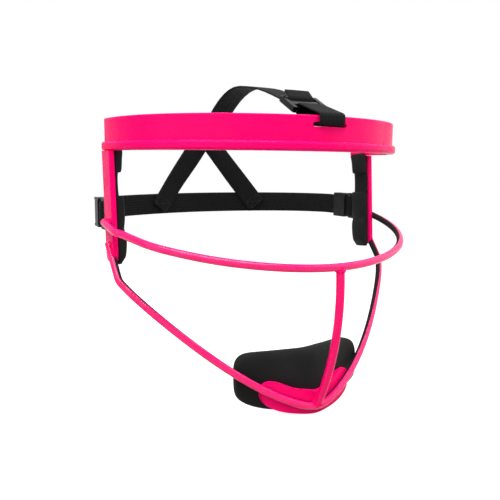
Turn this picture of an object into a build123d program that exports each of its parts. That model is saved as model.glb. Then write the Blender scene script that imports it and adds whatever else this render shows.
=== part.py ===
from build123d import *
import os
from math import acos, cos, radians, sin, tan

# Softball face guard, in millimetres.
# +X is the wearer's left, -Y is out of the face and +Z is up.
# The origin is the centre of the head opening, level with the lower rear corners of the brow band.

# General fits
seat_gap = 0.1      # between faces that are sewn, glued or clamped together
run_gap = 0.3       # round anything that slides
overrun = 8.0       # how far a cutting body runs past what it cuts

# Brow band: a moulded shell with a rolled lower bead and a strap slot at the front
brow_half = 84.4
brow_depth = 83.5
brow_height = 16.8
brow_wall = 2.2
brow_back = 4.4
brow_tilt = 4.3
brow_power = 0.9
rim_round = 0.7
bead_height = 4.7
bead_proud = 1.7
bead_round = 1.5
slot_width = 19.9
slot_height = 2.1
slot_rim = 3.1

# Brow pads: three foam blocks glued inside the shell
brow_pad_thick = 5.5
brow_pad_low = 1.6
brow_pad_height = 12.0
brow_pad_centre_height = 9.4
brow_pad_round = 2.2
brow_pad_centre_angle = 24
brow_pad_near_angle = 32
brow_pad_far_angle = 66
brow_pad_points = 7

# Arms: flat bars, one down each temple, each with a tab riveted inside the brow shell
arm_proud = 2.2
arm_thick = 2.7
arm_front = 9.6
arm_rear = 3.0
arm_bottom = 58.4
arm_round = 4.5
arm_edge = 0.6
tab_inset = 1.0
tab_thick = 2.0
tab_height = 11.6
shelf_low = 1.9
tab_front = 7.0

# Rivets through the arm tabs
rivet_d = 2.8
rivet_head_d = 5.0
rivet_head = 0.9
rivet_taper = 20.0
rivet_bite = 1.3
rivet_span = 5.2
rivet_level = 6.2

# Wires of the guard
wire_d = 3.9
wire_seat = 0.6
cheek_level = 38.8
cheek_reach = 79.9
cheek_slope = 15.6
cheek_start = 5.4
cheek_tail = 5.0
cheek_side_power = 1.059
cheek_front_power = 1.044
cheek_steps = 15    # stretches that the hoop is drawn through
jaw_inset = 0.5
jaw_start = 15.3
jaw_level = 67.3
jaw_reach = 48.6
jaw_drop = 67.1
jaw_sag_share = 0.116
jaw_side_power = 1.268
jaw_front_power = 1.8
jaw_top_level = 48.5
jaw_top_front = 2.0
jaw_bend_reach = 2.2
jaw_first_angle = 75.0
jaw_steps = 10
jaw_probe = 1.0     # degrees to each side when the wire's direction is taken
bar_d = 4.2
bar_bow = 5.9
bar_middle_share = 0.45

# Chin cup: a moulded carrier behind the jaw wire, with a foam pad on two studs
carrier_half = 27.6
carrier_top = 120.3
carrier_foot = 138.8
carrier_thick = 2.6
carrier_angle = 36.0
carrier_steps = 8
carrier_side_shares = (0.0, 0.43, 0.76, 0.92, 1.0, 0.94, 0.72, 0.33, 0.0)
carrier_level_shares = (0.36, 0.2, 0.0, 0.03, 0.23, 0.58, 0.805, 0.95, 1.0)
chin_half = 38.4
chin_top = 106.0
chin_foot = 138.0
chin_thick = 11.5
chin_wing_back = 11.3
chin_side_shares = (0.0, 0.22, 0.45, 0.66, 0.83, 0.94, 1.0)
chin_back_shares = (0.0, 0.133, 0.345, 0.62, 0.805, 0.885, 1.0)
chin_top_shares = (0.0, 0.0, 0.0, 0.0, 0.01, 0.07, 0.25)
chin_foot_shares = (1.0, 0.99, 0.96, 0.91, 0.83, 0.73, 0.56)
chin_thick_shares = (1.0, 1.0, 0.97, 0.88, 0.76, 0.58, 0.28)
chin_corner_share = 0.42
stud_d = 3.0
stud_head_d = 5.4
stud_head = 1.2
stud_bite = 1.5
stud_reach = 4.5
stud_angle = 11.4
stud_level = 129.5

# Side pads: foam with lobes, one inside each arm
side_pad_front = 8.8
side_pad_rear = 3.0
side_pad_top = 1.2
side_pad_foot = 59.6
side_pad_thick = 6.2
side_pad_wall_share = 0.42
side_pad_level_shares = (0.0, 0.05, 0.13, 0.18, 0.23, 0.34, 0.40, 0.45, 0.60, 0.68, 0.77, 0.88, 0.95, 1.0)
side_pad_thick_shares = (0.74, 0.82, 0.80, 0.52, 0.34, 0.34, 0.62, 0.88, 0.88, 0.78, 0.98, 0.92, 0.72, 0.40)
side_pad_width_shares = (0.84, 0.97, 1.0, 1.0, 1.0, 1.0, 1.0, 1.0, 1.0, 1.0, 1.0, 1.0, 0.93, 0.72)

# Webbing
web_thick = 1.1
ribbon_steps = 14   # points taken along each bend of a strap
back_web = 12.7
crown_web = 15.0

# Rear strap: looped round a bar behind each arm, doubled, then single round the head
harness_front = 9.2
harness_level = 33.0
harness_tilt = 5.0
harness_inset = 2.0
harness_depth = 57.7
harness_straight = 22.0
harness_pinch = 1.8
harness_side_shares = (0.975, 0.915, 0.77, 0.545, 0.268)
harness_depth_shares = (0.465, 0.57, 0.73, 0.873, 0.968)
harness_flare = 4.6
tail_length = 18.8
run_in_share = 0.78
ply_gap = 0.12

# Strap lugs: nylon loops behind the arms
lug_bar_d = 2.8
lug_slack = 0.25
lug_rail = 1.6
lug_side_gap = 0.4
lug_thick = 3.0
lug_nose = 1.9
lug_root = 2.0
tongue_thick = 1.4
tongue_length = 9.0
tongue_height = 11.0
lug_rivet_span = 5.4
lug_rivet_bite = 1.8

# Slides on the rear strap
slide_start = 4.7
slide_length = 10.4
slide_height = 15.9
slide_window = 13.3
slide_cover = 7.6
slide_plate = 1.1

# V straps between the crown strap and the rear strap
leg_gap = 0.45
leg_apex_level = 13.0
leg_apex_left = 4.6
leg_apex_right = 1.9
leg_foot_left_share = 0.31
leg_foot_right_share = 0.345
leg_lap_low = 3.4
leg_lap_high = 9.5
leg_over_apex = 5.0
leg_under_apex = 6.0

# Crown strap, from the V straps over the head to the buckle
crown_rear = 59.2
crown_rear_level = 8.0
crown_peak = 37.6
crown_back_shares = (0.985, 0.93, 0.74, 0.50, 0.24, 0.05)
crown_back_level_shares = (0.33, 0.45, 0.585, 0.785, 0.955, 1.0)
crown_front_shares = (0.203, 0.445, 0.678)
crown_front_level_shares = (0.945, 0.846, 0.706)
crown_tail = 4.6
crown_tail_angle = 8.0

# Buckle and the front loop that ties it to the brow slot
buckle_setback = 24.83
buckle_level = 18.8
buckle_pitch = 32.0
buckle_length = 14.6
buckle_width = 22.0
buckle_window = 17.4
buckle_thick = 2.9
buckle_bar_d = 2.6
buckle_bar_reach = 5.9
buckle_plate = 4.0
buckle_plate_thick = 2.2
buckle_round = 1.5
loop_front = 2.4
loop_rim = 0.6
loop_inner = 2.8
loop_knee_back = 6.3
loop_knee_rise = 3.8
loop_dip = 0.9
loop_round = 1.9


def plan_points(half, depth, first=90, last=-90, count=17):
    """Points of the brow's half oval in plan, from the wearer's left round the front."""
    points = []
    for step in range(count):
        angle = radians(first + (last - first) * step / (count - 1))
        points.append((half * sin(angle), -depth * max(cos(angle), 0) ** brow_power))
    return points


def curved_strip(outer, inner):
    """A strip of sketch between two smooth lines of points."""
    with BuildLine() as outline:
        Spline(*outer)
        Line(outer[-1], inner[-1])
        Spline(*inner)
        Line(inner[0], outer[0])
    make_face(outline.edges())


def ribbon(path):
    """Strips of sketch, as thick as the webbing, about the pieces of a line."""
    for edge in path.edges():
        steps = 1 if edge.geom_type == GeomType.LINE else ribbon_steps
        places = [step / steps for step in range(steps + 1)]
        edge_out = [Vector(-(edge % u).Y, (edge % u).X) * web_thick / 2 for u in places]
        curved_strip(
            [edge @ u + out for u, out in zip(places, edge_out)],
            [edge @ u - out for u, out in zip(places, edge_out)],
        )


def save(block, name):
    block.part.label = name
    export_step(block.part, f"parts/{name}.step")


def mirrored(block):
    """The same piece for the wearer's right."""
    with BuildPart() as twin:
        mirror(block.part, about=Plane.YZ)
    return twin


os.makedirs("parts", exist_ok=True)

# Planes and places that several pieces share
brow_normal = (0, -sin(radians(brow_tilt)), cos(radians(brow_tilt)))
brow_plane = Plane(origin=(0, brow_back, 0), x_dir=(1, 0, 0), z_dir=brow_normal)
cheek_normal = (0, -sin(radians(cheek_slope)), cos(radians(cheek_slope)))
cheek_plane = Plane(origin=(0, -cheek_start, -cheek_level), x_dir=(1, 0, 0), z_dir=cheek_normal)
harness_normal = (0, -sin(radians(harness_tilt)), cos(radians(harness_tilt)))
harness_origin = (0, harness_front, -harness_level)
harness_plane = Plane(origin=harness_origin, x_dir=(1, 0, 0), z_dir=harness_normal)
wire_r = wire_d / 2
arm_outer = brow_half + arm_proud
arm_inner = arm_outer - arm_thick
jaw_half = arm_outer - jaw_inset
wire_side = arm_outer + wire_r - wire_seat
harness_half = arm_outer - harness_inset
tab_width = tab_front + arm_rear
tab_middle = (arm_rear - tab_front) / 2
arm_width = arm_front + arm_rear
arm_middle = (arm_rear - arm_front) / 2
tab_outer = brow_half - brow_wall - tab_inset

# Rivets of the arm tabs, heads inward
with BuildPart() as left_rivets:
    for place in (tab_middle - rivet_span / 2, tab_middle + rivet_span / 2):
        with BuildSketch(Plane.YZ.offset(tab_outer - tab_thick)):
            with Locations((place, rivet_level)):
                Circle(rivet_d / 2)
        extrude(amount=tab_thick + tab_inset + rivet_bite)
        with BuildSketch(Plane.YZ.offset(tab_outer - tab_thick)):
            with Locations((place, rivet_level)):
                Circle(rivet_head_d / 2)
        extrude(amount=-rivet_head, taper=rivet_taper)
with BuildPart() as arm_rivets:
    add(left_rivets.part)
    mirror(left_rivets.part, about=Plane.YZ)
save(arm_rivets, "arm_rivets")

# Brow shell
slot_height_up = brow_height - slot_rim - slot_height / 2
slot_centre = brow_plane.from_local_coords(Vector(0, -brow_depth, slot_height_up))
slot_plane = Plane(origin=slot_centre, x_dir=(1, 0, 0), z_dir=(0, -1, 0))

with BuildPart() as brow_shell:
    with BuildSketch(brow_plane):
        curved_strip(
            plan_points(brow_half, brow_depth),
            plan_points(brow_half - brow_wall, brow_depth - brow_wall),
        )
    extrude(amount=brow_height)
    top_face = brow_shell.faces().filter_by(GeomType.PLANE).sort_by(Axis.Z)[-1]
    fillet(top_face.edges().sort_by(SortBy.LENGTH)[-2:], rim_round)
    with BuildSketch(brow_plane):
        curved_strip(
            plan_points(brow_half + bead_proud, brow_depth + bead_proud),
            plan_points(brow_half - brow_wall, brow_depth - brow_wall),
        )
    extrude(amount=bead_height)
    bead_edges = [
        edge
        for edge in brow_shell.edges().filter_by(lambda e: e.length > 2 * brow_half)
        if edge.bounding_box().max.X > brow_half + bead_proud / 2
    ]
    fillet(bead_edges, bead_round)
    with BuildSketch(slot_plane):
        SlotOverall(slot_width, slot_height)
    extrude(amount=overrun, both=True, mode=Mode.SUBTRACT)
    add(arm_rivets.part, mode=Mode.SUBTRACT)
save(brow_shell, "brow_shell")

# Brow pads
pad_half = brow_half - brow_wall - seat_gap
pad_depth = brow_depth - brow_wall - seat_gap
pad_spans = (
    ("brow_pad_left", brow_pad_far_angle, brow_pad_near_angle, brow_pad_height),
    ("brow_pad_centre", brow_pad_centre_angle, -brow_pad_centre_angle, brow_pad_centre_height),
    ("brow_pad_right", -brow_pad_near_angle, -brow_pad_far_angle, brow_pad_height),
)
for pad_name, first, last, pad_height in pad_spans:
    with BuildPart() as brow_pad:
        with BuildSketch(brow_plane.offset(brow_pad_low)):
            curved_strip(
                plan_points(pad_half, pad_depth, first, last, brow_pad_points),
                plan_points(
                    pad_half - brow_pad_thick, pad_depth - brow_pad_thick, first, last, brow_pad_points
                ),
            )
        extrude(amount=pad_height)
        head_face = brow_pad.faces().filter_by(GeomType.PLANE, reverse=True).sort_by(SortBy.AREA)[0]
        fillet(head_face.edges(), brow_pad_round)
    save(brow_pad, pad_name)

# Cheek wire: a half oval hoop in a plane that falls towards the front
cheek_depth = cheek_reach / cos(radians(cheek_slope))


def cheek_point(angle):
    """A point of the cheek wire."""
    side = sin(radians(angle))
    across = wire_side * abs(side) ** cheek_side_power
    front = -cheek_depth * max(cos(radians(angle)), 0) ** cheek_front_power
    return cheek_plane.from_local_coords(Vector(across if side > 0 else -across, front))


cheek_points = [cheek_point(90 - 180 * step / cheek_steps) for step in range(cheek_steps + 1)]
cheek_back = cheek_plane.y_dir
with BuildPart() as cheek_wire:
    with BuildLine() as cheek_path:
        Line(cheek_points[0] + cheek_back * cheek_tail, cheek_points[0])
        Spline(*cheek_points, tangents=[-cheek_back, cheek_back])
        Line(cheek_points[-1], cheek_points[-1] + cheek_back * cheek_tail)
    with BuildSketch(Plane(origin=cheek_path.wire() @ 0, z_dir=cheek_path.wire() % 0)):
        Circle(wire_r)
    sweep(path=cheek_path.wire())
save(cheek_wire, "cheek_wire")


def jaw_point(angle):
    """A point of the jaw wire forward of its bends."""
    side = sin(radians(angle))
    across = jaw_half * abs(side) ** jaw_side_power
    forward = cos(radians(angle)) ** jaw_front_power
    sag = jaw_sag_share * forward * (1 - forward)
    level = -jaw_level - jaw_drop * (forward - sag)
    return Vector(across if side > 0 else -across, -jaw_start - jaw_reach * forward, level)


# Jaw wire: down from the outer face of each arm, in at the bends and forward to the chin
jaw_points = [jaw_point(jaw_first_angle * (1 - 2 * step / jaw_steps)) for step in range(jaw_steps + 1)]


def jaw_bend(side, after):
    """The wire's end on an arm, three places round its bend, and its direction after the bend."""
    top = Vector(side * arm_outer, -jaw_top_front, -jaw_top_level)
    corner = Vector(side * jaw_half, -jaw_start, -jaw_level)
    back = (top - corner).normalized()
    ahead = (after - corner).normalized()
    half_turn = acos(back.dot(ahead)) / 2
    radius = jaw_bend_reach * tan(half_turn)
    inward = (back + ahead).normalized()
    middle = corner + inward * (radius / sin(half_turn) - radius)
    return top, corner + back * jaw_bend_reach, middle, corner + ahead * jaw_bend_reach, ahead


left_bend = jaw_bend(1, jaw_points[0])
right_bend = jaw_bend(-1, jaw_points[-1])
with BuildPart() as jaw_wire:
    with BuildLine() as jaw_path:
        Line(left_bend[0], left_bend[1])
        ThreePointArc(*left_bend[1:4])
        Spline(left_bend[3], *jaw_points, right_bend[3], tangents=[left_bend[4], -right_bend[4]])
        ThreePointArc(right_bend[3], right_bend[2], right_bend[1])
        Line(right_bend[1], right_bend[0])
    with BuildSketch(Plane(origin=left_bend[0], z_dir=left_bend[1] - left_bend[0])):
        Circle(wire_r)
    sweep(path=jaw_path.wire())
save(jaw_wire, "jaw_wire")

# Centre bar, coped to both wires
cheek_front = cheek_plane.from_local_coords(Vector(0, -cheek_depth, 0))
jaw_front = jaw_point(0)
bar_middle = cheek_front + (jaw_front - cheek_front) * bar_middle_share
with BuildPart() as centre_bar:
    with BuildLine(Plane.YZ) as bar_path:
        Spline(
            (cheek_front.Y, cheek_front.Z),
            (bar_middle.Y - bar_bow, bar_middle.Z),
            (jaw_front.Y, jaw_front.Z),
        )
    with BuildSketch(Plane(origin=bar_path.wire() @ 0, z_dir=bar_path.wire() % 0)):
        Circle(bar_d / 2)
    sweep(path=bar_path.wire())
    add(cheek_wire.part, mode=Mode.SUBTRACT)
    add(jaw_wire.part, mode=Mode.SUBTRACT)
save(centre_bar, "centre_bar")

# Rear strap, drawn in its own plane with a loop round each lug bar
ply = (web_thick + ply_gap) / 2
fold_r = lug_bar_d / 2 + lug_slack + web_thick / 2
straight_dir = Vector(-harness_pinch, harness_straight).normalized()
straight_out = Vector(straight_dir.Y, -straight_dir.X)


def strap_point(along, out):
    """A point beside the doubled stretch, measured from the lug bar on the wearer's left."""
    return Vector(harness_half, 0) + straight_dir * along + straight_out * out


def flipped(point):
    return Vector(-point.X, point.Y)


bend_start = strap_point(harness_straight, -ply)
side_points = [
    Vector(side * bend_start.X, depth * harness_depth)
    for side, depth in zip(harness_side_shares, harness_depth_shares)
]
run_in = strap_point(tail_length * run_in_share, -ply)
round_points = [run_in, bend_start, *side_points]
round_points += [Vector(0, harness_depth)] + [flipped(point) for point in reversed(round_points)]
tail = (strap_point(tail_length, ply), strap_point(harness_flare, ply))
eye = (strap_point(0, fold_r), strap_point(-fold_r, 0), strap_point(0, -fold_r))
inner_ply = (strap_point(harness_flare, -ply), run_in)
with BuildPart() as back_strap:
    with BuildSketch(harness_plane.offset(-back_web / 2)):
        with BuildLine() as strap_path:
            Line(*tail)
            Spline(tail[1], eye[0], tangents=[-straight_dir, -straight_dir])
            ThreePointArc(*eye)
            Spline(eye[2], inner_ply[0], tangents=[straight_dir, straight_dir])
            Line(*inner_ply)
            back_curve = Spline(*round_points)
            mirror(strap_path.edges()[:-1], about=Plane.YZ)
        ribbon(strap_path)
    extrude(amount=back_web)
save(back_strap, "back_strap")

# Strap lugs, drawn along the strap from the bar: a looped frame and a tongue riveted inside the arm
strap_along = harness_plane.y_dir
lug_plane = Plane(origin=harness_plane.origin, x_dir=strap_along, z_dir=(1, 0, 0))
lug_window = back_web + 2 * lug_side_gap
lug_rail_level = (lug_window + lug_rail) / 2
lug_lean = (lug_rail_level + lug_rail / 2) * sin(radians(harness_tilt))
lug_front = harness_front - arm_rear - run_gap - lug_lean
tongue_middle = -lug_front - tongue_length / 2
tongue_inner = arm_inner - tongue_thick

with BuildPart() as left_lug_rivets:
    for along in (tongue_middle - lug_rivet_span / 2, tongue_middle + lug_rivet_span / 2):
        with BuildSketch(lug_plane.offset(tongue_inner)):
            with Locations((along, 0)):
                Circle(rivet_d / 2)
        extrude(amount=tongue_thick + lug_rivet_bite)
        with BuildSketch(lug_plane.offset(tongue_inner)):
            with Locations((along, 0)):
                Circle(rivet_head_d / 2)
        extrude(amount=-rivet_head, taper=rivet_taper)
with BuildPart() as lug_rivets:
    add(left_lug_rivets.part)
    mirror(left_lug_rivets.part, about=Plane.YZ)
save(lug_rivets, "lug_rivets")

with BuildPart() as left_lug:
    with BuildSketch(lug_plane.offset(harness_half - lug_thick / 2)):
        with Locations((-lug_front, lug_rail_level), (-lug_front, -lug_rail_level)):
            Rectangle(lug_front + lug_nose, lug_rail, align=(Align.MIN, Align.CENTER))
    extrude(amount=lug_thick)
    with BuildSketch(lug_plane.offset(tongue_inner)):
        with Locations((-lug_front, 0)):
            Rectangle(lug_root, lug_window + 2 * lug_rail, align=(Align.MIN, Align.CENTER))
    extrude(amount=harness_half + lug_thick / 2 - tongue_inner)
    ends = left_lug.edges().filter_by(Axis.X).group_by(Axis.Y)
    fillet(ends[-1].sort_by(Axis.Z)[:1] + ends[-1].sort_by(Axis.Z)[-1:], lug_rail / 2)
    with BuildSketch(lug_plane.offset(tongue_inner)):
        with Locations((tongue_middle, 0)):
            RectangleRounded(tongue_length + lug_root, tongue_height, lug_rail)
    extrude(amount=tongue_thick)
    with BuildSketch(harness_plane.offset(-lug_rail_level)):
        with Locations((harness_half, 0)):
            Circle(lug_bar_d / 2)
    extrude(amount=2 * lug_rail_level)
    add(lug_rivets.part, mode=Mode.SUBTRACT)
right_lug = mirrored(left_lug)
save(left_lug, "left_lug")
save(right_lug, "right_lug")

# Arms: blade down the temple, shelf under the bead and tab inside the shell
with BuildPart() as left_arm:
    with BuildSketch(Plane.YZ.offset(arm_inner)) as blade:
        with Locations((arm_middle, 0)):
            Rectangle(arm_width, arm_bottom, align=(Align.CENTER, Align.MAX))
        fillet(blade.vertices().sort_by(Axis.Y)[:2], arm_round)
    extrude(amount=arm_thick)
    fillet(left_arm.faces().sort_by(Axis.X)[-1].edges().sort_by(Axis.Z)[:-1], arm_edge)
    with BuildSketch(Plane.YZ.offset(tab_outer - tab_thick)):
        with Locations((tab_middle, 0)):
            Rectangle(tab_width, shelf_low, align=(Align.CENTER, Align.MAX))
    extrude(amount=arm_inner + tab_thick - tab_outer + arm_thick / 2)
    with BuildSketch(brow_plane.offset(-seat_gap)):
        Rectangle(2 * (brow_half + overrun), 2 * (brow_half + overrun))
    extrude(amount=overrun, mode=Mode.SUBTRACT)
    with BuildSketch(Plane.YZ.offset(tab_outer - tab_thick)) as tab:
        with Locations((tab_middle, -shelf_low)):
            Rectangle(tab_width, shelf_low + tab_height, align=(Align.CENTER, Align.MIN))
        fillet(tab.vertices().sort_by(Axis.Y)[-2:], arm_round)
    extrude(amount=tab_thick)
    for seated in (arm_rivets, lug_rivets, cheek_wire, jaw_wire):
        add(seated.part, mode=Mode.SUBTRACT)
right_arm = mirrored(left_arm)
save(left_arm, "left_arm")
save(right_arm, "right_arm")

# Side pads: lofted down the arm, with a pocket over the lug's tongue and rivets
pad_back = arm_inner - seat_gap
pad_width = side_pad_front + side_pad_rear
pad_middle = (side_pad_rear - side_pad_front) / 2
pad_drop = side_pad_foot - side_pad_top
pad_stations = zip(side_pad_level_shares, side_pad_thick_shares, side_pad_width_shares)
with BuildPart() as left_side_pad:
    for level, thick, width in pad_stations:
        crown = pad_back - thick * side_pad_thick
        wall = pad_back - thick * side_pad_thick * side_pad_wall_share
        near = pad_middle - pad_width * width / 2
        far = pad_middle + pad_width * width / 2
        with BuildSketch(Plane.XY.offset(-side_pad_top - level * pad_drop)):
            with BuildLine() as pad_outline:
                Polyline((wall, near), (pad_back, near), (pad_back, far), (wall, far))
                ThreePointArc((wall, far), (crown, pad_middle), (wall, near))
            make_face(pad_outline.edges())
    loft()
    with BuildSketch(lug_plane.offset(tongue_inner - rivet_head - run_gap)):
        with Locations((tongue_middle, 0)):
            Rectangle(tongue_length + lug_root + 2 * run_gap, tongue_height + 2 * run_gap)
    extrude(amount=overrun, mode=Mode.SUBTRACT)
    for seated in (left_arm, jaw_wire, brow_shell):
        add(seated.part, mode=Mode.SUBTRACT)
right_side_pad = mirrored(left_side_pad)
save(left_side_pad, "left_side_pad")
save(right_side_pad, "right_side_pad")

# Slides: rails above and below the doubled strap, a plate on the head side and a bar outside
slide_origin = harness_plane.from_local_coords(Vector(harness_half, 0))
slide_along = harness_plane.x_dir * straight_dir.X + harness_plane.y_dir * straight_dir.Y
slide_out = harness_plane.x_dir * straight_out.X + harness_plane.y_dir * straight_out.Y
slide_plane = Plane(origin=slide_origin, x_dir=slide_along, z_dir=slide_out)
slide_face = web_thick + ply_gap / 2 + run_gap
slide_rail = (slide_height - slide_window) / 2
slide_middle = slide_start + slide_length / 2
with BuildPart() as left_slide:
    with BuildSketch(slide_plane):
        with Locations(
            (slide_middle, (slide_window + slide_rail) / 2),
            (slide_middle, -(slide_window + slide_rail) / 2),
        ):
            Rectangle(slide_length, slide_rail)
    extrude(amount=slide_face + slide_plate, both=True)
    with BuildSketch(slide_plane.offset(-slide_face - slide_plate)):
        with Locations((slide_middle, 0)):
            Rectangle(slide_length, slide_window)
    extrude(amount=slide_plate)
    with BuildSketch(slide_plane.offset(slide_face)):
        with Locations((slide_middle, 0)):
            Rectangle(slide_cover, slide_window)
    extrude(amount=slide_plate)
right_slide = mirrored(left_slide)
save(left_slide, "left_slide")
save(right_slide, "right_slide")

# V straps: flat where they lap at the crown and on the rear strap, ruled in between


def leg_sections(side, apex_side, foot_share, depth):
    """Planes across a leg from its top end to its foot; each has the strap's width along x."""
    on_strap = back_curve @ foot_share
    along = back_curve % foot_share
    inward = Vector(-along.Y, along.X) * (web_thick + leg_gap)
    foot = harness_plane.from_local_coords(on_strap + inward)
    face = harness_plane.x_dir * inward.X + harness_plane.y_dir * inward.Y
    face = face.normalized()
    apex = Vector(apex_side, depth, leg_apex_level)
    down = Vector(foot.X - apex.X, 0, foot.Z - apex.Z).normalized()
    run = foot - apex
    lap = (run - face * run.dot(face)).normalized()
    places = [
        (apex - down * leg_over_apex, down, Vector(0, -1, 0)),
        (apex + down * leg_under_apex, down, Vector(0, -1, 0)),
        (foot - lap * leg_lap_high, lap, face),
        (foot + lap * leg_lap_low, lap, face),
    ]
    return [Plane(origin=o, x_dir=z.cross(n), z_dir=z) for o, z, n in places]


ply_step = web_thick + seat_gap
legs = (
    ("v_strap_left", 1, leg_apex_left, leg_foot_left_share, crown_rear + 2 * ply_step),
    ("v_strap_right", -1, leg_apex_right, leg_foot_right_share, crown_rear + ply_step),
)
for leg_name, side, apex_side, foot_share, depth in legs:
    with BuildPart() as leg:
        for section in leg_sections(side, apex_side, foot_share, depth):
            with BuildSketch(section):
                Rectangle(back_web, web_thick)
        loft(ruled=True)
        if side < 0:
            mirror(about=Plane.YZ, mode=Mode.REPLACE)
    save(leg, leg_name)

# Buckle: a ladder lock pitched down to the front, in its own plane
buckle_front = brow_depth - buckle_setback
buckle_slope = radians(buckle_pitch)
buckle_back = Vector(cos(buckle_slope), sin(buckle_slope))
buckle_rise = Vector(-sin(buckle_slope), cos(buckle_slope))


def buckle_point(back, rise):
    """A point of the middle plane from its place in the buckle."""
    return Vector(-buckle_front, buckle_level) + buckle_back * back + buckle_rise * rise


buckle_normal = (0, buckle_rise.X, buckle_rise.Y)
buckle_plane = Plane(origin=(0, -buckle_front, buckle_level), x_dir=(1, 0, 0), z_dir=buckle_normal)
rail_width = (buckle_width - buckle_window) / 2
rail_side = (buckle_window + rail_width) / 2
with BuildPart() as front_buckle:
    with BuildSketch(buckle_plane):
        with Locations((rail_side, 0), (-rail_side, 0)):
            RectangleRounded(rail_width, buckle_length, buckle_round / 2)
    extrude(amount=buckle_thick / 2, both=True)
    with BuildSketch(buckle_plane):
        Rectangle(buckle_width - rail_width, buckle_plate)
    extrude(amount=buckle_plate_thick / 2, both=True)
    with BuildSketch(Plane.YZ.offset(-rail_side)):
        for reach in (-buckle_bar_reach, buckle_bar_reach):
            with Locations(buckle_point(reach, 0)):
                Circle(buckle_bar_d / 2)
    extrude(amount=2 * rail_side)
save(front_buckle, "front_buckle")

# Crown strap: over the head, under the rear bar of the buckle and back over it
wrap_r = buckle_bar_d / 2 + run_gap + web_thick / 2
tail_turn = radians(crown_tail_angle)
wrap_back = buckle_bar_reach - wrap_r * sin(tail_turn)
wrap_rise = wrap_r * cos(tail_turn)
crown_points = [Vector(crown_rear, crown_rear_level)]
crown_points += [
    Vector(back * crown_rear, level * crown_peak)
    for back, level in zip(crown_back_shares, crown_back_level_shares)
]
crown_points += [
    Vector(-front * buckle_front, level * crown_peak)
    for front, level in zip(crown_front_shares, crown_front_level_shares)
]
crown_points.append(buckle_point(buckle_bar_reach + buckle_bar_d, -wrap_r))
crown_points.append(buckle_point(buckle_bar_reach, -wrap_r))
with BuildPart() as crown_strap:
    with BuildSketch(Plane.YZ.offset(-crown_web / 2)):
        with BuildLine() as crown_path:
            Spline(*crown_points)
            ThreePointArc(
                crown_points[-1],
                buckle_point(buckle_bar_reach - wrap_r, 0),
                buckle_point(wrap_back, wrap_rise),
            )
            Line(
                buckle_point(wrap_back, wrap_rise),
                buckle_point(
                    wrap_back + crown_tail * cos(tail_turn),
                    wrap_rise + crown_tail * sin(tail_turn),
                ),
            )
        ribbon(crown_path)
    extrude(amount=crown_web)
save(crown_strap, "crown_strap")

# Front loop: a closed ribbon through the brow slot, over the rim and round the front bar
rim_front = brow_plane.from_local_coords(Vector(0, -brow_depth, brow_height))
loop_low = slot_centre.Z
loop_knee = Vector(rim_front.Y + loop_knee_back, loop_low + loop_knee_rise)
with BuildPart() as front_loop:
    with BuildSketch(Plane.YZ.offset(-crown_web / 2)):
        with BuildLine() as loop_path:
            FilletPolyline(
                (rim_front.Y + brow_wall + loop_inner, loop_low),
                (rim_front.Y - loop_front + wrap_r / 2, loop_low),
                (rim_front.Y - loop_front + wrap_r / 2, rim_front.Z + loop_rim),
                buckle_point(wrap_r - buckle_bar_reach, wrap_r),
                buckle_point(wrap_r - buckle_bar_reach, -wrap_r - loop_dip),
                (loop_knee.X, loop_knee.Y),
                radius=loop_round,
                close=True,
            )
        ribbon(loop_path)
    extrude(amount=crown_web)
save(front_loop, "front_loop")

# Chin cup: the carrier follows the jaw wire in plan and is cut to its outline from the front
carrier_front = wire_r - wire_seat
carrier_back = carrier_front + carrier_thick


def behind_jaw(angle, distance):
    """A point of the jaw wire moved towards the head, in plan."""
    run = (jaw_point(angle - jaw_probe) - jaw_point(angle + jaw_probe)).normalized()
    return jaw_point(angle) + Vector(run.Y, -run.X).normalized() * distance


carrier_angles = [carrier_angle * (1 - 2 * step / carrier_steps) for step in range(carrier_steps + 1)]
carrier_edge = [
    Vector(side * carrier_half, -carrier_top - level * (carrier_foot - carrier_top))
    for side, level in zip(carrier_side_shares, carrier_level_shares)
]
carrier_edge += [Vector(-point.X, point.Y) for point in reversed(carrier_edge[1:-1])]
with BuildPart() as chin_studs:
    for angle in (stud_angle, -stud_angle):
        seat = behind_jaw(angle, carrier_back - stud_bite)
        with BuildSketch(Plane.XZ.offset(-seat.Y)):
            with Locations((seat.X, -stud_level)):
                Circle(stud_d / 2)
        extrude(amount=-stud_bite - stud_reach)
        with BuildSketch(Plane.XZ.offset(-seat.Y - stud_bite - stud_reach)):
            with Locations((seat.X, -stud_level)):
                Circle(stud_head_d / 2)
        extrude(amount=stud_head)
save(chin_studs, "chin_studs")

with BuildPart() as chin_carrier:
    with BuildSketch(Plane.XY.offset(-carrier_foot - overrun)):
        curved_strip(
            [tuple(behind_jaw(angle, carrier_front))[:2] for angle in carrier_angles],
            [tuple(behind_jaw(angle, carrier_back))[:2] for angle in carrier_angles],
        )
    extrude(amount=carrier_foot - carrier_top + 2 * overrun)
    with BuildSketch(Plane.XZ):
        with BuildLine() as carrier_outline:
            Spline(*carrier_edge, periodic=True)
        make_face(carrier_outline.edges())
    extrude(amount=brow_half, mode=Mode.INTERSECT)
    for seated in (jaw_wire, centre_bar, chin_studs):
        add(seated.part, mode=Mode.SUBTRACT)
save(chin_carrier, "chin_carrier")

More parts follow.
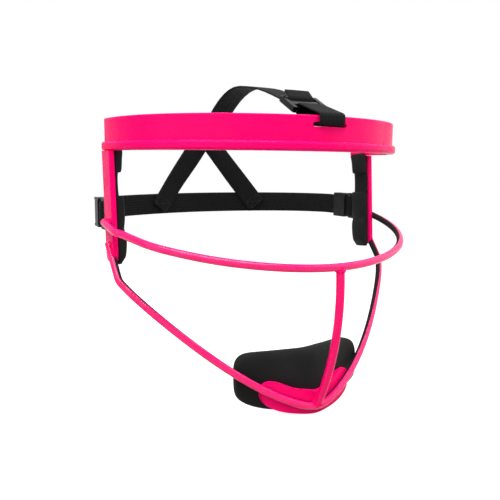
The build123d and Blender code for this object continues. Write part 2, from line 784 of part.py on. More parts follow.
# Chin pad: lofted from wing to wing behind the carrier
chin_face = jaw_point(0).Y + carrier_back + seat_gap
chin_rows = list(
    zip(chin_side_shares, chin_back_shares, chin_top_shares, chin_foot_shares, chin_thick_shares)
)
chin_stations = [(-row[0], *row[1:]) for row in reversed(chin_rows[1:])] + chin_rows
chin_drop = chin_foot - chin_top
with BuildPart() as chin_pad:
    for side, back, top, foot, thick in chin_stations:
        depth = thick * chin_thick
        front = chin_face + back * chin_wing_back
        middle = chin_top + (top + foot) / 2 * chin_drop
        with BuildSketch(Plane.YZ.offset(side * chin_half)):
            with Locations((front + depth / 2, -middle)):
                RectangleRounded(depth, (foot - top) * chin_drop, depth * chin_corner_share)
    loft()
    for seated in (chin_carrier, jaw_wire, chin_studs):
        add(seated.part, mode=Mode.SUBTRACT)
save(chin_pad, "chin_pad")
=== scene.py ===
from math import acos, atan2, cos, pi, radians, sin

import bpy
import numpy as np
from bpy.props import FloatProperty, FloatVectorProperty, PointerProperty
from mathutils import Matrix, Vector


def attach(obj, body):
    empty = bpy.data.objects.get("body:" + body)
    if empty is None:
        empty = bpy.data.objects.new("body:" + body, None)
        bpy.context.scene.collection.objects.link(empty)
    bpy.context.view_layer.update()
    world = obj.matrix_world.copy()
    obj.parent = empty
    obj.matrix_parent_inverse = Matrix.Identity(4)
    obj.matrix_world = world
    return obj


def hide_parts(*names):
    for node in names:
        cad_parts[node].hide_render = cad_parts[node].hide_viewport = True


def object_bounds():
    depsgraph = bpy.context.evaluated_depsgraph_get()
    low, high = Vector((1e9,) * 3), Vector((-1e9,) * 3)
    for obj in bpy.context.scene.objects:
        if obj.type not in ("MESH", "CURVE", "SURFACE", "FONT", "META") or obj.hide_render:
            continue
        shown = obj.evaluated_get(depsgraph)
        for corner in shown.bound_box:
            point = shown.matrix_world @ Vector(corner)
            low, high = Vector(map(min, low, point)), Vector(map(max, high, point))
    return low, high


bl_info = {
    "name": "Softball Face Guard",
    "version": (1, 0, 0),
    "blender": (4, 5, 0),
    "location": "View3D > Sidebar > Face Guard",
    "description": "Dresses the packed face guard: cage paint, moulded band, foam, webbing and buckles",
    "category": "Object",
}

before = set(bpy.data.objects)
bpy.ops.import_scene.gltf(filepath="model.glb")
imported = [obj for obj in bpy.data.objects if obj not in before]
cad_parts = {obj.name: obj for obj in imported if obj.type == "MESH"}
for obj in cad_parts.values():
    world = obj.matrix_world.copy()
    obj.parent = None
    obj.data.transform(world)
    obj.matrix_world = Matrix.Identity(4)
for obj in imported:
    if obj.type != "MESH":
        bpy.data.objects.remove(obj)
cad_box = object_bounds()

MM = 0.001
GUARD = "guard"


# Settings


class FinishSettings(bpy.types.PropertyGroup):
    """Colours and surface sizes of the guard's finishes"""

    pink: FloatVectorProperty(
        name="Pink", description="Paint and moulded band", subtype="COLOR",
        size=4, min=0, max=1, default=(1.0, 0.0015, 0.150, 1.0),
    )
    coat_black: FloatVectorProperty(
        name="Inner coat", description="Anti-glare coat on the inner side of the wires",
        subtype="COLOR", size=4, min=0, max=1, default=(0.014, 0.013, 0.014, 1.0),
    )
    foam_black: FloatVectorProperty(
        name="Foam", description="Skin of the foam pads", subtype="COLOR",
        size=4, min=0, max=1, default=(0.0085, 0.0085, 0.0087, 1.0),
    )
    web_black: FloatVectorProperty(
        name="Webbing", description="Yarn of the straps", subtype="COLOR",
        size=4, min=0, max=1, default=(0.0070, 0.0070, 0.0073, 1.0),
    )
    thread_black: FloatVectorProperty(
        name="Thread", description="Sewing thread", subtype="COLOR",
        size=4, min=0, max=1, default=(0.012, 0.012, 0.0125, 1.0),
    )
    nylon_black: FloatVectorProperty(
        name="Nylon", description="Lugs and slides", subtype="COLOR",
        size=4, min=0, max=1, default=(0.010, 0.010, 0.010, 1.0),
    )
    buckle_black: FloatVectorProperty(
        name="Buckle", description="Glossy buckle at the brow", subtype="COLOR",
        size=4, min=0, max=1, default=(0.0035, 0.0035, 0.0035, 1.0),
    )
    rivet_steel: FloatVectorProperty(
        name="Rivets", description="Blackened steel of the rivets", subtype="COLOR",
        size=4, min=0, max=1, default=(0.20, 0.20, 0.205, 1.0),
    )
    grain_pitch: FloatProperty(
        name="Grain pitch", description="Size of the fine grain of paint and plastic",
        subtype="DISTANCE", unit="LENGTH", min=0.0001, default=0.0009,
    )
    pore_pitch: FloatProperty(
        name="Pore pitch", description="Distance between the pores of the foam's skin",
        subtype="DISTANCE", unit="LENGTH", min=0.0001, default=0.0011,
    )
    rib_pitch: FloatProperty(
        name="Rib pitch", description="Distance between the ribs of the webbing",
        subtype="DISTANCE", unit="LENGTH", min=0.0001, default=0.0016,
    )


class HarnessSettings(bpy.types.PropertyGroup):
    """Sizes of the straps and their sewing"""

    rear_width: FloatProperty(
        name="Rear webbing", description="Width of the rear and V straps",
        subtype="DISTANCE", unit="LENGTH", default=0.0131,
    )
    crown_width: FloatProperty(
        name="Crown webbing", description="Width of the crown strap and front loop",
        subtype="DISTANCE", unit="LENGTH", default=0.0150,
    )
    thickness: FloatProperty(
        name="Thickness", description="Thickness of all webbing",
        subtype="DISTANCE", unit="LENGTH", default=0.0011,
    )
    stitch: FloatProperty(
        name="Stitch", description="Length of one stitch",
        subtype="DISTANCE", unit="LENGTH", default=0.0019,
    )
    stitch_gap: FloatProperty(
        name="Stitch gap", description="Gap between two stitches",
        subtype="DISTANCE", unit="LENGTH", default=0.0006,
    )
    thread: FloatProperty(
        name="Thread", description="Diameter of the sewing thread",
        subtype="DISTANCE", unit="LENGTH", default=0.00038,
    )


class StageSettings(bpy.types.PropertyGroup):
    """Lamps, floor and backdrop"""

    key_power: FloatProperty(
        name="Key lamp", description="Large lamp above left",
        subtype="POWER", unit="POWER", min=0, default=15.0,
    )
    fill_power: FloatProperty(
        name="Fill lamp", description="Lamp from the right",
        subtype="POWER", unit="POWER", min=0, default=14.5,
    )
    front_power: FloatProperty(
        name="Front lamp", description="Large lamp over the camera",
        subtype="POWER", unit="POWER", min=0, default=5.0,
    )
    top_power: FloatProperty(
        name="Top lamp", description="Large lamp overhead, for the lights along the wires",
        subtype="POWER", unit="POWER", min=0, default=15.0,
    )
    sky_level: FloatProperty(
        name="Sky", description="Level of the even light all round",
        subtype="FACTOR", min=0, max=1, default=0.12,
    )
    floor_level: FloatProperty(
        name="Floor glow", description="Light that the camera sees the floor give",
        subtype="FACTOR", min=0, max=1, default=0.94,
    )


# Shader graphs


class Graph:
    """Adds nodes to a shader tree and joins them up."""

    def __init__(self, tree):
        self.tree = tree

    def add(self, kind, inputs=None, **settings):
        node = self.tree.nodes.new(kind)
        node.location = (-220 * (len(self.tree.nodes) % 9), -160 * (len(self.tree.nodes) // 9))
        for name, value in settings.items():
            setattr(node, name, value)
        for name, value in (inputs or {}).items():
            if isinstance(value, bpy.types.NodeSocket):
                self.tree.links.new(value, node.inputs[name])
            else:
                node.inputs[name].default_value = value
        return node

    def math(self, operation, first, second=0.0):
        return self.add("ShaderNodeMath", {0: first, 1: second}, operation=operation).outputs[0]

    def vector(self, operation, first, second=(0, 0, 0)):
        return self.add("ShaderNodeVectorMath", {0: first, 1: second}, operation=operation)

    def ramp(self, value, low, high, to_low=0.0, to_high=1.0):
        inputs = {"Value": value, "From Min": low, "From Max": high, "To Min": to_low, "To Max": to_high}
        return self.add("ShaderNodeMapRange", inputs, interpolation_type="SMOOTHSTEP").outputs[0]

    def mix(self, share, first, second):
        inputs = {0: share, 6: first, 7: second}
        return self.add("ShaderNodeMix", inputs, data_type="RGBA").outputs[2]

    def noise(self, coordinates, scale, detail=3.0, roughness=0.5):
        inputs = {"Vector": coordinates, "Scale": scale, "Detail": detail, "Roughness": roughness}
        return self.add("ShaderNodeTexNoise", inputs).outputs[0]

    def bump(self, height, strength, distance):
        inputs = {"Height": height, "Strength": strength, "Distance": distance}
        return self.add("ShaderNodeBump", inputs).outputs[0]

    def group(self, name, inputs):
        return self.add("ShaderNodeGroup", inputs, node_tree=bpy.data.node_groups[name])


def start_group(name, inputs, outputs):
    """A new node group with named sockets; inputs and outputs are (name, kind, default)."""
    tree = bpy.data.node_groups.new(name, "ShaderNodeTree")
    for in_out, sockets in (("INPUT", inputs), ("OUTPUT", outputs)):
        for socket_name, kind, default in sockets:
            socket = tree.interface.new_socket(
                name=socket_name, in_out=in_out, socket_type=f"NodeSocket{kind}"
            )
            if default is not None:
                socket.default_value = default
    graph = Graph(tree)
    return graph, graph.add("NodeGroupInput"), graph.add("NodeGroupOutput")


def end_group(graph, output, **values):
    """Joins values to the group's outputs of the same names."""
    for name, value in values.items():
        graph.tree.links.new(value, output.inputs[name.capitalize()])


def make_groups():
    """The effects that several finishes share."""
    graph, given, result = start_group(
        "Fine grain",
        [("Pitch", "Float", 0.001), ("Depth", "Float", 0.5)],
        [("Height", "Float", None), ("Haze", "Float", None)],
    )
    place = graph.add("ShaderNodeTexCoord").outputs["Object"]
    scale = graph.math("DIVIDE", 1.0, given.outputs["Pitch"])
    fine = graph.noise(place, scale, 2.0, 0.55)
    broad = graph.noise(place, graph.math("MULTIPLY", scale, 0.12), 3.0, 0.5)
    height = graph.math("MULTIPLY", graph.math("SUBTRACT", fine, 0.5), given.outputs["Depth"])
    end_group(graph, result, height=height, haze=graph.ramp(broad, 0.35, 0.7))

    graph, given, result = start_group(
        "Edge wear",
        [("Radius", "Float", 0.0008), ("Amount", "Float", 0.5)],
        [("Mask", "Float", None)],
    )
    bevel = graph.add("ShaderNodeBevel", {"Radius": given.outputs["Radius"]}, samples=4)
    normal = graph.add("ShaderNodeNewGeometry").outputs["Normal"]
    turn = graph.vector("DOT_PRODUCT", bevel.outputs[0], normal).outputs["Value"]
    edge = graph.ramp(turn, 0.995, 0.90)
    place = graph.add("ShaderNodeTexCoord").outputs["Object"]
    patches = graph.ramp(graph.noise(place, 160.0, 4.0, 0.6), 0.48, 0.62)
    mask = graph.math("MULTIPLY", graph.math("MULTIPLY", edge, patches), given.outputs["Amount"])
    end_group(graph, result, mask=mask)

    graph, given, result = start_group(
        "Inner side",
        [("Centre", "Vector", (0, 0, 0)), ("Reach", "Vector", (1, 1, 0)), ("Edge", "Float", 0.0)],
        [("Mask", "Float", None)],
    )
    coordinates = graph.add("ShaderNodeTexCoord")
    arm = graph.vector("SUBTRACT", coordinates.outputs["Object"], given.outputs["Centre"]).outputs[0]
    arm = graph.vector("MULTIPLY", arm, given.outputs["Reach"]).outputs[0]
    arm = graph.vector("NORMALIZE", arm).outputs[0]
    facing = graph.vector("DOT_PRODUCT", coordinates.outputs["Normal"], arm).outputs["Value"]
    drift = graph.noise(coordinates.outputs["Object"], 90.0, 2.0, 0.5)
    facing = graph.math("ADD", facing, graph.math("MULTIPLY", graph.math("SUBTRACT", drift, 0.5), 0.16))
    facing = graph.math("SUBTRACT", given.outputs["Edge"], facing)
    end_group(graph, result, mask=graph.ramp(facing, -0.05, 0.05))

    graph, given, result = start_group(
        "Woven ribs",
        [("Rib", "Float", 0.0016), ("Pick", "Float", 0.0008)],
        [("Height", "Float", None), ("Shade", "Float", None)],
    )
    cloth = graph.add("ShaderNodeAttribute", attribute_name="cloth").outputs["Vector"]
    across = graph.add("ShaderNodeSeparateXYZ", {0: cloth})
    rib = graph.math("DIVIDE", across.outputs["X"], given.outputs["Rib"])
    pick = graph.math("DIVIDE", across.outputs["Y"], given.outputs["Pick"])
    rib_wave = graph.math("ABSOLUTE", graph.math("SINE", graph.math("MULTIPLY", rib, pi)))
    lean = graph.math("ADD", pick, graph.math("MULTIPLY", graph.math("PINGPONG", rib, 1.0), 0.9))
    pick_wave = graph.math("ABSOLUTE", graph.math("SINE", graph.math("MULTIPLY", lean, pi)))
    height = graph.math("MULTIPLY", graph.math("POWER", rib_wave, 0.6), graph.math("POWER", pick_wave, 0.5))
    fuzz = graph.noise(cloth, 2600.0, 2.0, 0.6)
    height = graph.math("ADD", height, graph.math("MULTIPLY", fuzz, 0.25))
    # Shade here is painted shade from the height: darker low in the weave between the ribs, lighter on
    # their crests.
    end_group(graph, result, height=height, shade=graph.ramp(height, 0.05, 1.0))

    graph, given, result = start_group(
        "Foam skin",
        [("Pitch", "Float", 0.0011)],
        [("Height", "Float", None), ("Shade", "Float", None)],
    )
    place = graph.add("ShaderNodeTexCoord").outputs["Object"]
    scale = graph.math("DIVIDE", 1.0, given.outputs["Pitch"])
    cells = graph.add("ShaderNodeTexVoronoi", {"Vector": place, "Scale": scale}).outputs["Distance"]
    crumple = graph.noise(place, graph.math("MULTIPLY", scale, 0.35), 5.0, 0.62)
    broad = graph.noise(place, 45.0, 3.0, 0.5)
    height = graph.math("ADD", graph.math("MULTIPLY", cells, 0.5), graph.math("MULTIPLY", crumple, 0.9))
    end_group(graph, result, height=height, shade=graph.ramp(broad, 0.3, 0.75))


def start_material(name, **values):
    """A new material with constants on its shader's own sockets."""
    material = bpy.data.materials.new(name)
    material.use_nodes = True
    shader = material.node_tree.nodes["Principled BSDF"]
    for socket, value in values.items():
        shader.inputs[socket.replace("_", " ")].default_value = value
    return material, Graph(material.node_tree), shader


def join(graph, shader, **values):
    """Joins values that vary over the surface to the shader."""
    for socket, value in values.items():
        graph.tree.links.new(value, shader.inputs[socket.replace("_", " ")])


def scaled(colour, share):
    """The same colour, darker or lighter by a share."""
    return (*(min(1.0, part * share) for part in colour[:3]), 1.0)


# Depths, edge radii and pitches of the finishes, in metres
GRAIN_DEPTH, PORE_DEPTH, RIB_DEPTH = 0.0001, 0.00018, 0.00022
PINK_EDGE, MOULDED_EDGE = 0.0005, 0.0004
TWIST_PITCH, STEEL_PITCH = 0.0003, 0.0004
PINK_ROUGH, COAT_ROUGHER = (0.26, 0.34), 0.26


def pink_finish(name, gloss, inner_coat=None):
    """Pink under a clear coat of the given weight.

    inner_coat is the centre that the black side faces, the directions that count and where
    the black ends.
    """
    look = bpy.context.scene.guard_finish
    material, graph, shader = start_material(
        name, IOR=1.45, Specular_IOR_Level=0.04, Coat_Roughness=0.06, Coat_IOR=1.45,
    )
    grain = graph.group("Fine grain", {"Pitch": look.grain_pitch, "Depth": 0.5})
    wear = graph.group("Edge wear", {"Radius": PINK_EDGE, "Amount": 0.22})
    deep, light = scaled(look.pink, 0.96), scaled(look.pink, 1.03)
    colour = graph.mix(grain.outputs["Haze"], tuple(look.pink), deep)
    colour = graph.mix(wear.outputs["Mask"], colour, light)
    rough = graph.ramp(grain.outputs["Haze"], 0.0, 1.0, *PINK_ROUGH)
    coat = graph.ramp(grain.outputs["Haze"], 0.0, 1.0, gloss, gloss * 0.8)
    if inner_coat is not None:
        centre, reach, edge = inner_coat
        side = graph.group("Inner side", {"Centre": centre, "Reach": reach, "Edge": edge})
        mask = side.outputs["Mask"]
        colour = graph.mix(mask, colour, tuple(look.coat_black))
        rough = graph.math("ADD", rough, graph.math("MULTIPLY", mask, COAT_ROUGHER))
        coat = graph.math("MULTIPLY", coat, graph.math("SUBTRACT", 1.0, mask))
    normal = graph.bump(grain.outputs["Height"], 0.12, GRAIN_DEPTH)
    join(graph, shader, Base_Color=colour, Roughness=rough, Coat_Weight=coat, Normal=normal)
    return material


def grained_finish(name, effect, mask, colours, rough, relief, wear=None, **constants):
    """A finish from one effect: its mask turns colour and roughness, and its height makes the bump.

    effect is the group and its inputs, relief the bump's strength and distance, and wear the
    radius, amount and colour of worn edges.
    """
    material, graph, shader = start_material(name, **constants)
    skin = graph.group(*effect)
    colour = graph.mix(skin.outputs[mask], *colours)
    if wear is not None:
        radius, amount, bare = wear
        edges = graph.group("Edge wear", {"Radius": radius, "Amount": amount})
        colour = graph.mix(edges.outputs["Mask"], colour, bare)
    rough = graph.ramp(skin.outputs[mask], 0.0, 1.0, *rough)
    normal = graph.bump(skin.outputs["Height"], *relief)
    join(graph, shader, Base_Color=colour, Roughness=rough, Normal=normal)
    return material


def foam_finish():
    """Fine pores under a soft, dull skin."""
    look = bpy.context.scene.guard_finish
    shades = (tuple(look.foam_black), scaled(look.foam_black, 1.35))
    grained_finish(
        "Foam skin", ("Foam skin", {"Pitch": look.pore_pitch}), "Shade", shades,
        rough=(0.72, 0.62), relief=(0.35, PORE_DEPTH), IOR=1.4, Specular_IOR_Level=0.12,
    )


def webbing_finish():
    """Woven yarn in ribs, with painted shade: darker in the grooves between them, lighter on their crests.
    """
    look = bpy.context.scene.guard_finish
    weave = {"Rib": look.rib_pitch, "Pick": look.rib_pitch / 2}
    # Painted shade: the darker colour fills the grooves, the lighter one the crests.
    shades = (scaled(look.web_black, 0.55), scaled(look.web_black, 1.3))
    grained_finish(
        "Webbing", ("Woven ribs", weave), "Shade", shades,
        rough=(0.82, 0.62), relief=(0.6, RIB_DEPTH), IOR=1.4, Specular_IOR_Level=0.08,
    )


def thread_finish():
    """Twisted thread, a little glossier than the webbing."""
    look = bpy.context.scene.guard_finish
    shades = (tuple(look.thread_black), scaled(look.thread_black, 1.5))
    grained_finish(
        "Thread", ("Fine grain", {"Pitch": TWIST_PITCH, "Depth": 1.0}), "Haze", shades,
        rough=(0.45, 0.6), relief=(0.4, GRAIN_DEPTH), IOR=1.5, Specular_IOR_Level=0.12,
    )


def moulded_finish(name, colour, rough, strength, gloss):
    """Black moulded plastic, paler along its worn edges."""
    look = bpy.context.scene.guard_finish
    grain = {"Pitch": look.grain_pitch * 0.5, "Depth": 1.0}
    return grained_finish(
        name, ("Fine grain", grain), "Haze", (colour, scaled(colour, 1.25)),
        rough=rough, relief=(strength, GRAIN_DEPTH), wear=(MOULDED_EDGE, 0.5, scaled(colour, 3.0)),
        IOR=1.5, Specular_IOR_Level=gloss,
    )


def steel_finish():
    """Blackened steel."""
    look = bpy.context.scene.guard_finish
    shades = (tuple(look.rivet_steel), scaled(look.rivet_steel, 0.6))
    return grained_finish(
        "Rivet steel", ("Fine grain", {"Pitch": STEEL_PITCH, "Depth": 1.0}), "Haze", shades,
        rough=(0.3, 0.5), relief=(0.3, GRAIN_DEPTH), Metallic=0.9, IOR=2.0,
    )


def dress(node, material):
    """Gives a carried-over CAD node its finish."""
    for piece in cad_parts[node].material_slots:
        piece.material = material


# Shapes shared by the soft pieces


def unit(vectors):
    """One direction, or rows of them, brought to length 1."""
    vectors = np.asarray(vectors, float)
    return vectors / np.linalg.norm(vectors, axis=-1, keepdims=True)


def lengths_along(points):
    """How far along the line each of its points lies."""
    return np.concatenate([[0], np.cumsum(np.linalg.norm(np.diff(points, axis=0), axis=1))])


def bezier(start, near_start, near_end, end, count):
    """Points of a curve that leaves and arrives along its two handles."""
    share = np.linspace(0, 1, count)[:, None]
    rest = 1 - share
    return (
        rest**3 * start + 3 * rest**2 * share * near_start
        + 3 * rest * share**2 * near_end + share**3 * end
    )


def smooth_line(points, count):
    """Points of a natural cubic spline through the given points, spaced evenly along it."""
    points = np.asarray(points, float)
    knots = lengths_along(points)
    steps = np.diff(knots)
    size = len(points)
    rows, right = np.zeros((size, size)), np.zeros((size, points.shape[1]))
    rows[0, 0] = rows[-1, -1] = 1
    for i in range(1, size - 1):
        before, after = steps[i - 1], steps[i]
        rows[i, i - 1 : i + 2] = before, 2 * (before + after), after
        right[i] = 6 * ((points[i + 1] - points[i]) / after - (points[i] - points[i - 1]) / before)
    bend = np.linalg.solve(rows, right)
    along = np.linspace(0, knots[-1], count)
    at = np.clip(np.searchsorted(knots, along, side="right") - 1, 0, size - 2)
    h = steps[at][:, None]
    a = ((knots[at + 1] - along) / steps[at])[:, None]
    b = 1 - a
    curve = a * points[at] + b * points[at + 1]
    return curve + ((a**3 - a) * bend[at] + (b**3 - b) * bend[at + 1]) * h * h / 6


def arc_points(centre, start, sweep, count):
    """Points round a centre in a plane, from a start point through an angle in degrees."""
    centre, start = np.asarray(centre, float), np.asarray(start, float)
    arm = start - centre
    turns = np.radians(np.linspace(0, sweep, count))
    return np.array(
        [centre + (arm[0] * cos(t) - arm[1] * sin(t), arm[0] * sin(t) + arm[1] * cos(t)) for t in turns]
    )


def even(points, step):
    """The same line with its points a step apart."""
    points = np.asarray(points, float)
    lengths = lengths_along(points)
    count = max(2, int(round(lengths[-1] / step)) + 1)
    places = np.linspace(0, lengths[-1], count)
    return np.stack([np.interp(places, lengths, points[:, i]) for i in range(points.shape[1])], 1)


def new_piece(name, vertices, faces, material):
    """A smooth-shaded piece on the guard's body."""
    mesh = bpy.data.meshes.new(name)
    mesh.from_pydata([tuple(map(float, v)) for v in vertices], [], faces)
    mesh.validate()
    mesh.polygons.foreach_set("use_smooth", [True] * len(mesh.polygons))
    mesh.materials.append(material)
    piece = bpy.data.objects.new(name, mesh)
    bpy.context.scene.collection.objects.link(piece)
    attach(piece, GUARD)
    return piece


def gathered(tubes):
    """Vertices and faces of several tubes as one mesh."""
    vertices, faces = [], []
    for more, cells in tubes:
        faces += [tuple(len(vertices) + v for v in cell) for cell in cells]
        vertices += more
    return vertices, faces


def grid_faces(rows, columns, closed_rows=False):
    """Faces of a tube of rows, each a closed ring of columns, with caps unless the rows close."""
    faces = []
    for i in range(rows if closed_rows else rows - 1):
        j = (i + 1) % rows
        for k in range(columns):
            m = (k + 1) % columns
            faces.append((i * columns + k, i * columns + m, j * columns + m, j * columns + k))
    if not closed_rows:
        faces.append(tuple(reversed(range(columns))))
        faces.append(tuple((rows - 1) * columns + k for k in range(columns)))
    return faces


# A direction that no tube starts along
ANY_WAY = (0.31, 0.57, 0.76)


def tube(points, radii, ring=12):
    """Vertices and faces of a capped tube along points, with a radius at each."""
    points = np.asarray(points, float)
    ahead = unit(np.gradient(points, axis=0))
    side = np.cross(ahead[0], ANY_WAY)
    vertices = []
    for point, run, radius in zip(points, ahead, radii):
        side = unit(side - run * np.dot(side, run))
        up = np.cross(run, side)
        for k in range(ring):
            turn = 2 * pi * k / ring
            vertices.append(point + radius * (side * cos(turn) + up * sin(turn)))
    return vertices, grid_faces(len(points), ring)


# A strap's section and the ripple of its selvedge
FACE_POINTS = 10
EDGE_TURNS = (0.9, 0.0, -0.9)
EDGE_THIN = 0.16
RIPPLE_RATE = 900


def web_section(width, thickness):
    """A strap's section, thinner at its rounded edges: places across and up."""
    half, deep = width / 2, thickness / 2
    flat = np.linspace(-half + deep, half - deep, FACE_POINTS)
    top = [(x, deep * (1 - EDGE_THIN * (2 * x / width) ** 4)) for x in flat]
    right = [(half - deep + deep * cos(t), deep * (1 - EDGE_THIN) * sin(t)) for t in EDGE_TURNS]
    bottom = [(x, -y) for x, y in reversed(top)]
    left = [(-x, y) for x, y in reversed(right)]
    return np.array(top + right + bottom + left)


def webbing(name, line, across, width, closed=False, wave=0.0):
    """A strap along a line, with its flat length; across is the direction of its width."""
    settings = bpy.context.scene.guard_harness
    line, across = np.asarray(line, float), np.asarray(across, float)
    if closed:
        ahead = unit(np.roll(line, -1, 0) - np.roll(line, 1, 0))
    else:
        ahead = unit(np.gradient(line, axis=0))
    across = unit(across - (across * ahead).sum(1)[:, None] * ahead)
    up = np.cross(across, ahead)
    section = web_section(width, settings.thickness)
    lengths = lengths_along(line)
    vertices, cloth = [], []
    for point, side, rise, run in zip(line, across, up, lengths):
        for x, y in section:
            ripple = wave * sin(run * RIPPLE_RATE) * (2 * x / width) ** 2
            vertices.append(point + side * x + rise * (y + ripple))
            cloth.append((x, run, 0.0))
    faces = grid_faces(len(line), len(section), closed)
    piece = new_piece(name, vertices, faces, bpy.data.materials["Webbing"])
    attribute = piece.data.attributes.new("cloth", "FLOAT_VECTOR", "POINT")
    attribute.data.foreach_set("vector", np.array(cloth, np.float32).ravel())
    return piece, float(lengths[-1] + (np.linalg.norm(line[-1] - line[0]) if closed else 0))


# A stitch: places along it, its bow and how deep it sits, in radii of the thread
STITCH_SPANS = np.array((0.0, 0.12, 0.5, 0.88, 1.0))
STITCH_BOW, STITCH_SUNK = 0.75, 0.2
STITCH_END = 0.45
STITCH_RING = 6


def sewing(name, runs):
    """Rows of stitches; each run is (start, end, up), and a stitch is a bowed thread along it."""
    settings = bpy.context.scene.guard_harness
    pitch = settings.stitch + settings.stitch_gap
    radius = settings.thread / 2
    lifts = radius * (STITCH_BOW * np.sin(pi * STITCH_SPANS) - STITCH_SUNK)
    swell = np.sqrt(np.sin(pi * np.clip(STITCH_SPANS, 0.08, 0.92)))
    radii = radius * (STITCH_END + (1 - STITCH_END) * swell)
    stitches = []
    for start, end, up in runs:
        run = end - start
        count = max(1, int(round(np.linalg.norm(run) / pitch)))
        for k in range(count):
            first = start + run * (k + settings.stitch_gap / pitch / 2) / count
            span = run / count * (settings.stitch / pitch)
            points = first + STITCH_SPANS[:, None] * span + lifts[:, None] * unit(up)
            stitches.append(tube(points, radii, STITCH_RING))
    piece = new_piece(name, *gathered(stitches), bpy.data.materials["Thread"])


# The harness's places, in millimetres, as the CAD has them

HARNESS_ORIGIN = np.array((0.0, 9.2, -33.0))
HARNESS_TILT = radians(5.0)
HARNESS_X = np.array((1.0, 0.0, 0.0))
HARNESS_Y = np.array((0.0, cos(HARNESS_TILT), sin(HARNESS_TILT)))
HARNESS_UP = np.array((0.0, -sin(HARNESS_TILT), cos(HARNESS_TILT)))
HARNESS_HALF, HARNESS_DEPTH = 84.6, 57.7
LINE_STEP = 0.7
PLY = 0.61
FOLD_R = 2.2
STRAIGHT, PINCH, FLARE, TAIL = 22.0, 1.8, 4.6, 18.8
RUN_IN = TAIL * 0.78
STRAIGHT_DIR = unit((-PINCH, STRAIGHT))
STRAIGHT_OUT = np.array((STRAIGHT_DIR[1], -STRAIGHT_DIR[0]))
SIDE_SHARES = (0.975, 0.915, 0.77, 0.545, 0.268)
DEPTH_SHARES = (0.465, 0.57, 0.73, 0.873, 0.968)


def strap_point(along, out):
    """A place by the straight end of the rear strap on the wearer's left."""
    return np.array((HARNESS_HALF, 0.0)) + STRAIGHT_DIR * along + STRAIGHT_OUT * out


def from_harness(points):
    """Metres in the shared frame from millimetres in the harness's plane."""
    points = np.asarray(points, float)
    return (HARNESS_ORIGIN + points[:, :1] * HARNESS_X + points[:, 1:2] * HARNESS_Y) * MM


def round_line():
    """The single ply round the back of the head, from the wearer's left to right."""
    start = strap_point(STRAIGHT, -PLY)
    points = [strap_point(RUN_IN, -PLY), start]
    points += [np.array((a * start[0], b * HARNESS_DEPTH)) for a, b in zip(SIDE_SHARES, DEPTH_SHARES)]
    points += [np.array((0.0, HARNESS_DEPTH))] + [p * (-1, 1) for p in reversed(points)]
    return smooth_line(points, 181)


def eased(start, end, direction):
    """A gentle S between two points that both run in one direction."""
    handle = direction * abs(np.dot(end - start, direction)) / 2
    return bezier(start, start + handle, end - handle, end, 9)


def fold_line():
    """The doubled end on the wearer's left: tail, loop round the lug's bar and inner ply."""
    out = eased(strap_point(FLARE, PLY), strap_point(0, FOLD_R), -STRAIGHT_DIR)
    ring = arc_points((HARNESS_HALF, 0), strap_point(0, FOLD_R), -180, 17)
    back = eased(strap_point(0, -FOLD_R), strap_point(FLARE, -PLY), STRAIGHT_DIR)
    tail = np.linspace(strap_point(TAIL, PLY), strap_point(FLARE, PLY), 9)
    inner = np.linspace(strap_point(FLARE, -PLY), strap_point(RUN_IN, -PLY), 6)
    return np.concatenate([tail[:-1], out[:-1], ring[:-1], back[:-1], inner[:-1]])


# Rows of stitches across the tail, from its end
TAIL_ROWS = (1.0, 2.6)
TAIL_ROW_HALF = 5.2
TAIL_ROW_LEVEL = PLY * 2 - 0.12


class GUARD_OT_rear_strap(bpy.types.Operator):
    """Make the strap round the back of the head, with its doubled and sewn ends"""

    bl_idname = "guard.rear_strap"
    bl_label = "Rear strap"

    def execute(self, context):
        width = context.scene.guard_harness.rear_width
        fold = fold_line()
        line = np.concatenate([fold, round_line(), fold[::-1] * (-1, 1)])
        line = from_harness(even(line, LINE_STEP))
        across = np.tile(HARNESS_UP, (len(line), 1))
        strap, length = webbing("rear_strap", line, across, width, wave=0.00003)
        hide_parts("back_strap")
        runs = []
        for side in (1, -1):
            out = STRAIGHT_OUT[0] * HARNESS_X * side + STRAIGHT_OUT[1] * HARNESS_Y
            for from_end in TAIL_ROWS:
                place = strap_point(TAIL - from_end, TAIL_ROW_LEVEL) * (side, 1)
                middle = from_harness([place])[0]
                reach = HARNESS_UP * TAIL_ROW_HALF * MM
                runs.append((middle - reach, middle + reach, out))
        sewing("rear_strap_stitches", runs)
        return {"FINISHED"}


APEX_LEVEL = 13.0
CROWN_REAR = 59.2
LEG_STEP = 1.2
LEG_LIFT = 1.55
APEX_LAP, FOOT_LAP = (5.0, 6.0), (9.5, 3.4)
BOX_ABOVE, BOX_BELOW, BOX_HALF, BOX_LIFT = 6.2, 12.2, 4.6, 0.52
# Node, side, apex off the middle, share of the way round the strap and depth of the top
LEGS = (
    ("v_strap_left", 1, 4.6, 0.31, CROWN_REAR + 2 * LEG_STEP),
    ("v_strap_right", -1, 1.9, 0.345, CROWN_REAR + LEG_STEP),
)


def leg_frames(apex_side, share, depth):
    """Places along a leg on the wearer's left: (point, run, face), from its top to its foot."""
    line = round_line()
    at = share * (len(line) - 1)
    low = int(at)
    on_strap = line[low] + (line[low + 1] - line[low]) * (at - low)
    along = unit(line[low + 1] - line[low - 1])
    inward = np.array((-along[1], along[0]))
    foot = on_strap + inward * LEG_LIFT
    foot = HARNESS_ORIGIN + foot[0] * HARNESS_X + foot[1] * HARNESS_Y
    face = inward[0] * HARNESS_X + inward[1] * HARNESS_Y
    apex = np.array((apex_side, depth, APEX_LEVEL))
    down = unit((foot[0] - apex[0], 0, foot[2] - apex[2]))
    run = foot - apex
    lap = unit(run - face * np.dot(run, face))
    front = np.array((0.0, -1.0, 0.0))
    return [
        (apex - down * APEX_LAP[0], down, front),
        (apex + down * APEX_LAP[1], down, front),
        (foot - lap * FOOT_LAP[0], lap, face),
        (foot + lap * FOOT_LAP[1], lap, face),
    ]


